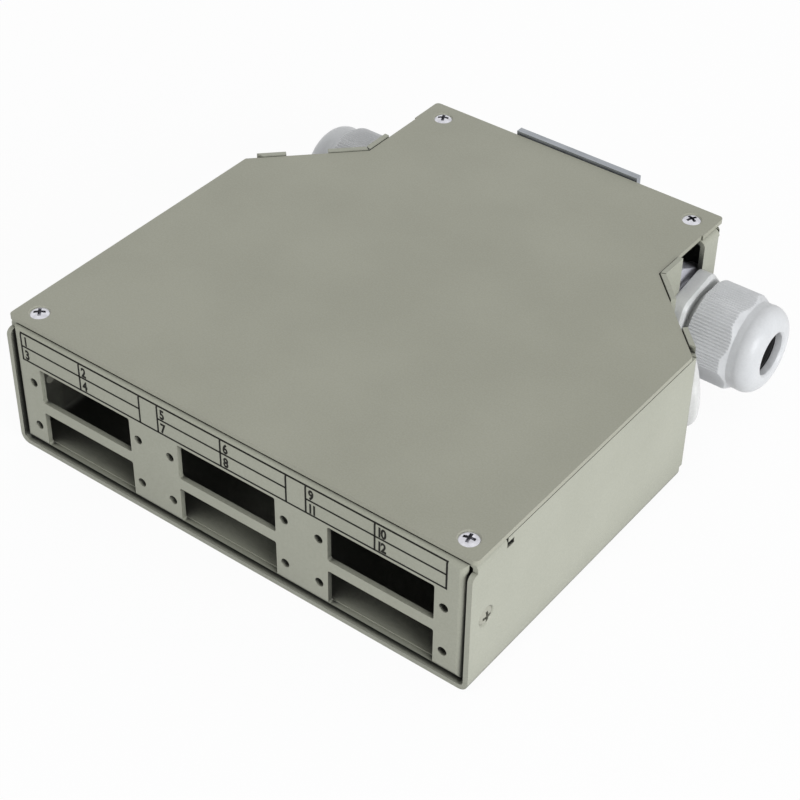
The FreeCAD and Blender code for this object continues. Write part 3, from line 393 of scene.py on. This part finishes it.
def lay_on_panel(mesh):
    # Sets a flat print, drawn at y = 0, onto the panel's face and its bend.
    bend_start = panel_high.z - PANEL_BEND_RADIUS
    for step in range(BEND_STEPS):
        cut = (0.0, 0.0, bend_start + PANEL_BEND_RADIUS * step / BEND_STEPS)
        everything = mesh.verts[:] + mesh.edges[:] + mesh.faces[:]
        bmesh.ops.bisect_plane(mesh, geom=everything, plane_co=cut, plane_no=(0, 0, 1))
    for point in mesh.verts:
        past = max(point.co.z - bend_start, 0.0)
        drop = PANEL_BEND_RADIUS - math.sqrt(PANEL_BEND_RADIUS**2 - past**2)
        point.co.y += panel_low.y + drop


def link_mesh(name, mesh):
    data = bpy.data.meshes.new(name)
    mesh.to_mesh(data)
    mesh.free()
    piece = bpy.data.objects.new(name, data)
    bpy.context.collection.objects.link(piece)
    return piece


def table_ink():
    ink = new_finish("table ink", roughness=0.6)
    colour = blend_colours(
        ink, add_grain(ink, scale=2200.0), shade_of(14, 14, 9), shade_of(28, 28, 22)
    )
    shader = ink.node_tree.nodes["Principled BSDF"]
    ink.node_tree.links.new(colour, shader.inputs["Base Color"])
    vary_roughness(ink, add_grain(ink, scale=900.0), low=0.7, high=0.9)
    shader.inputs["Specular IOR Level"].default_value = 0.3
    return ink


ink = table_ink()
lines = bmesh.new()
half_line = LINE_WIDTH / 2
first, last = groups[0][0], groups[-1][-1]
for z, width in ((table_top, TOP_LINE_WIDTH), (table_bottom, LINE_WIDTH)):
    printed_bar(lines, first - half_line, last + half_line, z - width / 2, z + width / 2)
for group in groups:
    printed_bar(lines, group[0], group[-1], table_middle - half_line, table_middle + half_line)
    for x in group:
        printed_bar(lines, x - half_line, x + half_line, table_bottom, table_top)
lay_on_panel(lines)
table = link_mesh("port_table", lines)
table.data.materials.append(ink)
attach(table, "box")


def printed_number(number, x, z):
    writing = bpy.data.curves.new("number", "FONT")
    writing.body = str(number)
    writing.size = NUMBER_SIZE
    writing.extrude = PRINT_THICKNESS
    writing.offset = NUMBER_BOLD
    writing.space_character = NUMBER_SPACING
    writing.resolution_u = NUMBER_CURVE_STEPS
    holder = bpy.data.objects.new("number", writing)
    flat = bpy.data.meshes.new_from_object(holder)
    bpy.data.objects.remove(holder)
    narrow = Matrix.Diagonal((NUMBER_NARROWING, 1.0, 1.0, 1.0))
    upright = Matrix.Rotation(math.radians(90), 4, "X")
    flat.transform(Matrix.Translation((x, 0.0, z)) @ upright @ narrow)
    figures = bmesh.new()
    figures.from_mesh(flat)
    lay_on_panel(figures)
    piece = link_mesh("port_number_%d" % number, figures)
    piece.data.materials.append(ink)
    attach(piece, "box")


number = 1
for group in groups:
    for z in (table_middle, table_bottom):
        for x in group[:2]:
            indent = NUMBER_INDENT if number < 10 else LONG_NUMBER_INDENT
            printed_number(number, x + half_line + indent, z + NUMBER_RISE)
            number += 1

# Cable glands: moulded light grey nylon. The body has a hexagon and a thread,
# the ribbed cap nut squeezes a rubber seal onto the cable, and a locknut
# behind the wall holds it.

RIB_SHADE_REACH = 0.0008
NYLON_GLOW_DEPTH = 0.003


def moulded_nylon(name, dark, light):
    # Lets a little light through, and has painted shade in its narrow grooves,
    # such as between the ribs.
    nylon = new_finish(name, roughness=0.3)
    clouds = blend_colours(nylon, add_grain(nylon, scale=120.0, detail=3.0), dark, light)
    specks = blend_colours(nylon, add_grain(nylon, scale=1800.0, detail=1.0), dark, light)
    colour = mix_colours(nylon, clouds, specks, share=0.35)
    dusk(nylon, colour, share=0.3, reach=RIB_SHADE_REACH, low=0.35, high=0.92)
    vary_roughness(nylon, add_grain(nylon, scale=500.0), low=0.28, high=0.4)
    shader = nylon.node_tree.nodes["Principled BSDF"]
    shader.inputs["Specular IOR Level"].default_value = 0.32
    shader.inputs["Subsurface Weight"].default_value = 0.5
    shader.inputs["Subsurface Radius"].default_value = (1.0, 1.0, 1.0)
    shader.inputs["Subsurface Scale"].default_value = NYLON_GLOW_DEPTH
    add_relief(nylon, [add_grain(nylon, scale=1400.0)], depth=0.000015)
    return nylon


def moulded_rubber(name, dark, light):
    rubber = new_finish(name, roughness=0.7)
    nodes, links = rubber.node_tree.nodes, rubber.node_tree.links
    colour = blend_colours(rubber, add_grain(rubber, scale=900.0, detail=3.0), dark, light)
    links.new(colour, nodes["Principled BSDF"].inputs["Base Color"])
    vary_roughness(rubber, add_grain(rubber, scale=700.0), low=0.6, high=0.85)
    add_relief(rubber, [add_grain(rubber, scale=3000.0)], depth=0.00002)
    return rubber


gland_nylon = moulded_nylon("gland nylon", shade_of(192, 193, 192), shade_of(202, 203, 202))
nut_nylon = moulded_nylon("cap nut nylon", shade_of(195, 196, 197), shade_of(205, 206, 207))
locknut_nylon = moulded_nylon("locknut nylon", shade_of(182, 182, 188), shade_of(194, 194, 200))
seal_rubber = moulded_rubber("seal rubber", shade_of(26, 26, 27), shade_of(38, 38, 39))
for side in ("right", "left"):
    dress(side + "_gland_body", gland_nylon)
    dress(side + "_gland_nut", nut_nylon)
    dress(side + "_gland_locknut", locknut_nylon)
    dress(side + "_gland_seal", seal_rubber)

# Blanking plugs: pale grey nylon with a coin slot, screwed into the unused
# entries of the slanted walls with a locknut behind each.

plug_nylon = moulded_nylon("plug nylon", shade_of(198, 198, 196), shade_of(210, 210, 208))
for side in ("right", "left"):
    dress(side + "_plug", plug_nylon)
    dress(side + "_plug_locknut", locknut_nylon)

# Rail clip: zinc plated sheet steel behind the back wall, riveted on, with a
# latch that slides against a small coil spring.

ROLLED_ALONG_X = (0.15, 1, 1)
UNROLLED = (1, 1, 1)


def plated_steel(name, dark, light, stretch):
    steel = new_finish(name, roughness=0.4, metallic=0.85)
    nodes, links = steel.node_tree.nodes, steel.node_tree.links
    clouds = blend_colours(steel, add_grain(steel, scale=90.0, detail=4.0), dark, light)
    streaks = blend_colours(steel, add_grain(steel, scale=900.0, stretch=stretch), dark, light)
    colour = mix_colours(steel, clouds, streaks, share=0.4)
    links.new(colour, nodes["Principled BSDF"].inputs["Base Color"])
    vary_roughness(steel, add_grain(steel, scale=260.0, detail=3.0), low=0.32, high=0.5)
    add_relief(steel, [add_grain(steel, scale=1200.0, stretch=stretch)], depth=0.00001)
    return steel


clip_zinc = plated_steel(
    "clip zinc", shade_of(147, 151, 156), shade_of(170, 174, 179), ROLLED_ALONG_X
)
latch_zinc = plated_steel(
    "latch zinc", shade_of(150, 153, 156), shade_of(174, 177, 180), ROLLED_ALONG_X
)
rivet_zinc = plated_steel(
    "rivet zinc", shade_of(160, 162, 165), shade_of(184, 186, 189), UNROLLED
)
dress("rail_clip", clip_zinc)
dress("rail_latch", latch_zinc)
dress("clip_rivets", rivet_zinc)

# Latch spring: a coil of drawn wire with a closed turn at each end. Its right
# end stays against the clip; the latch squeezes it when it is pulled open.

SPRING_TURNS = 8
SPRING_CLOSED_TURNS = 1.0
SPRING_WIRE_RADIUS = 0.00025
SPRING_STEPS_A_TURN = 28
SPRING_WIRE_SIDES = 10


def coil_spring(name, node):
    low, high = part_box(node)
    middle = (low + high) / 2
    radius = (high.z - low.z) / 2 - SPRING_WIRE_RADIUS
    first = low.x + SPRING_WIRE_RADIUS
    closed = 2 * SPRING_WIRE_RADIUS
    open_length = high.x - low.x - closed - 2 * closed * SPRING_CLOSED_TURNS
    open_turns = SPRING_TURNS - 2 * SPRING_CLOSED_TURNS
    along = Vector((1.0, 0.0, 0.0))
    wire = bmesh.new()
    rings = []
    for step in range(SPRING_TURNS * SPRING_STEPS_A_TURN + 1):
        turn = step / SPRING_STEPS_A_TURN
        opened = min(max(turn - SPRING_CLOSED_TURNS, 0.0), open_turns)
        x = first + closed * (turn - opened) + open_length * opened / open_turns
        angle = math.tau * turn
        out = Vector((0.0, math.sin(angle), -math.cos(angle)))
        centre = Vector((x, middle.y, middle.z)) + radius * out
        ring = []
        for side in range(SPRING_WIRE_SIDES):
            around = math.tau * side / SPRING_WIRE_SIDES
            across = math.cos(around) * out + math.sin(around) * along
            ring.append(wire.verts.new(centre + SPRING_WIRE_RADIUS * across))
        rings.append(ring)
    for ring, following in zip(rings, rings[1:]):
        for side in range(SPRING_WIRE_SIDES):
            other = (side + 1) % SPRING_WIRE_SIDES
            wire.faces.new((ring[side], ring[other], following[other], following[side]))
    wire.faces.new(rings[0])
    wire.faces.new(list(reversed(rings[-1])))
    bmesh.ops.recalc_face_normals(wire, faces=wire.faces)
    for face in wire.faces:
        face.smooth = True
    spring = link_mesh(name, wire)
    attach(spring, "box")
    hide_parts(node)
    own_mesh(spring)
    return spring


spring = coil_spring("coil_spring", "latch_spring")
drawn_wire = plated_steel(
    "spring wire", shade_of(130, 132, 134), shade_of(170, 172, 174), UNROLLED
)
spring.data.materials.append(drawn_wire)

# Inside: a comb for splice sleeves, four open rings that lead the fibres
# round the floor, and a brass post with washer and screw for each cable.

TURNED_ROUND_Z = (1, 1, 6)

holder_plastic = moulded_nylon("holder plastic", shade_of(222, 222, 214), shade_of(234, 234, 227))
guide_plastic = moulded_nylon("guide plastic", shade_of(226, 226, 220), shade_of(238, 238, 232))


def turned_brass():
    brass = new_finish("turned brass", roughness=0.3, metallic=1.0)
    nodes, links = brass.node_tree.nodes, brass.node_tree.links
    patches = add_grain(brass, scale=400.0, detail=3.0)
    colour = blend_colours(brass, patches, shade_of(188, 158, 92), shade_of(216, 188, 120))
    links.new(colour, nodes["Principled BSDF"].inputs["Base Color"])
    tool_marks = add_grain(brass, scale=900.0, stretch=TURNED_ROUND_Z)
    vary_roughness(brass, tool_marks, low=0.22, high=0.42)
    return brass


post_brass = turned_brass()
dress("splice_holder", holder_plastic)
dress("holder_screws", screw_metal)
for number in (1, 2, 3, 4):
    dress("fibre_guide_%d" % number, guide_plastic)
for side in ("right", "left"):
    dress(side + "_clamp_post", post_brass)
    dress(side + "_clamp_washer", rivet_zinc)
    dress(side + "_clamp_screw", screw_metal)
